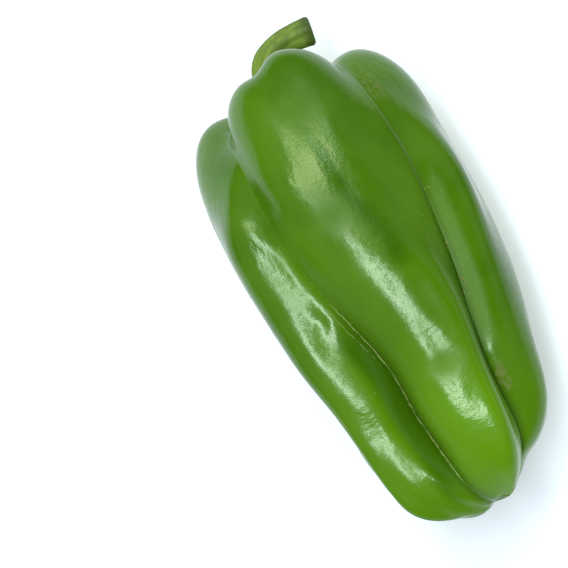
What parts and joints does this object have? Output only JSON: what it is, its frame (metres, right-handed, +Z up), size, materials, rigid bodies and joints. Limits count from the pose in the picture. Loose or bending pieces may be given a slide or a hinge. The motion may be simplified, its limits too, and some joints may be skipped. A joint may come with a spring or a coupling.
{
  "type": "bell pepper",
  "caption": "Long green bell pepper with deep lobes and a bent, ribbed stalk, lying on its side as it rests on a table.",
  "frame": {"origin": "middle of the underside of the part's box, on the surface the pepper lies on", "axes": "+Y from the blossom end to the stem end, +Z up, through the front lobe, which lies uppermost"},
  "size_m": [0.0744, 0.1566, 0.0697],
  "materials": {
    "skin": "waxy green skin, glossy with a soft haze",
    "stalk": "pale green ribbed stalk, half matt"
  },
  "bodies": {
    "root": {"fruit": "skin", "stem_with_calyx": "stalk"}
  },
  "joints": []
}
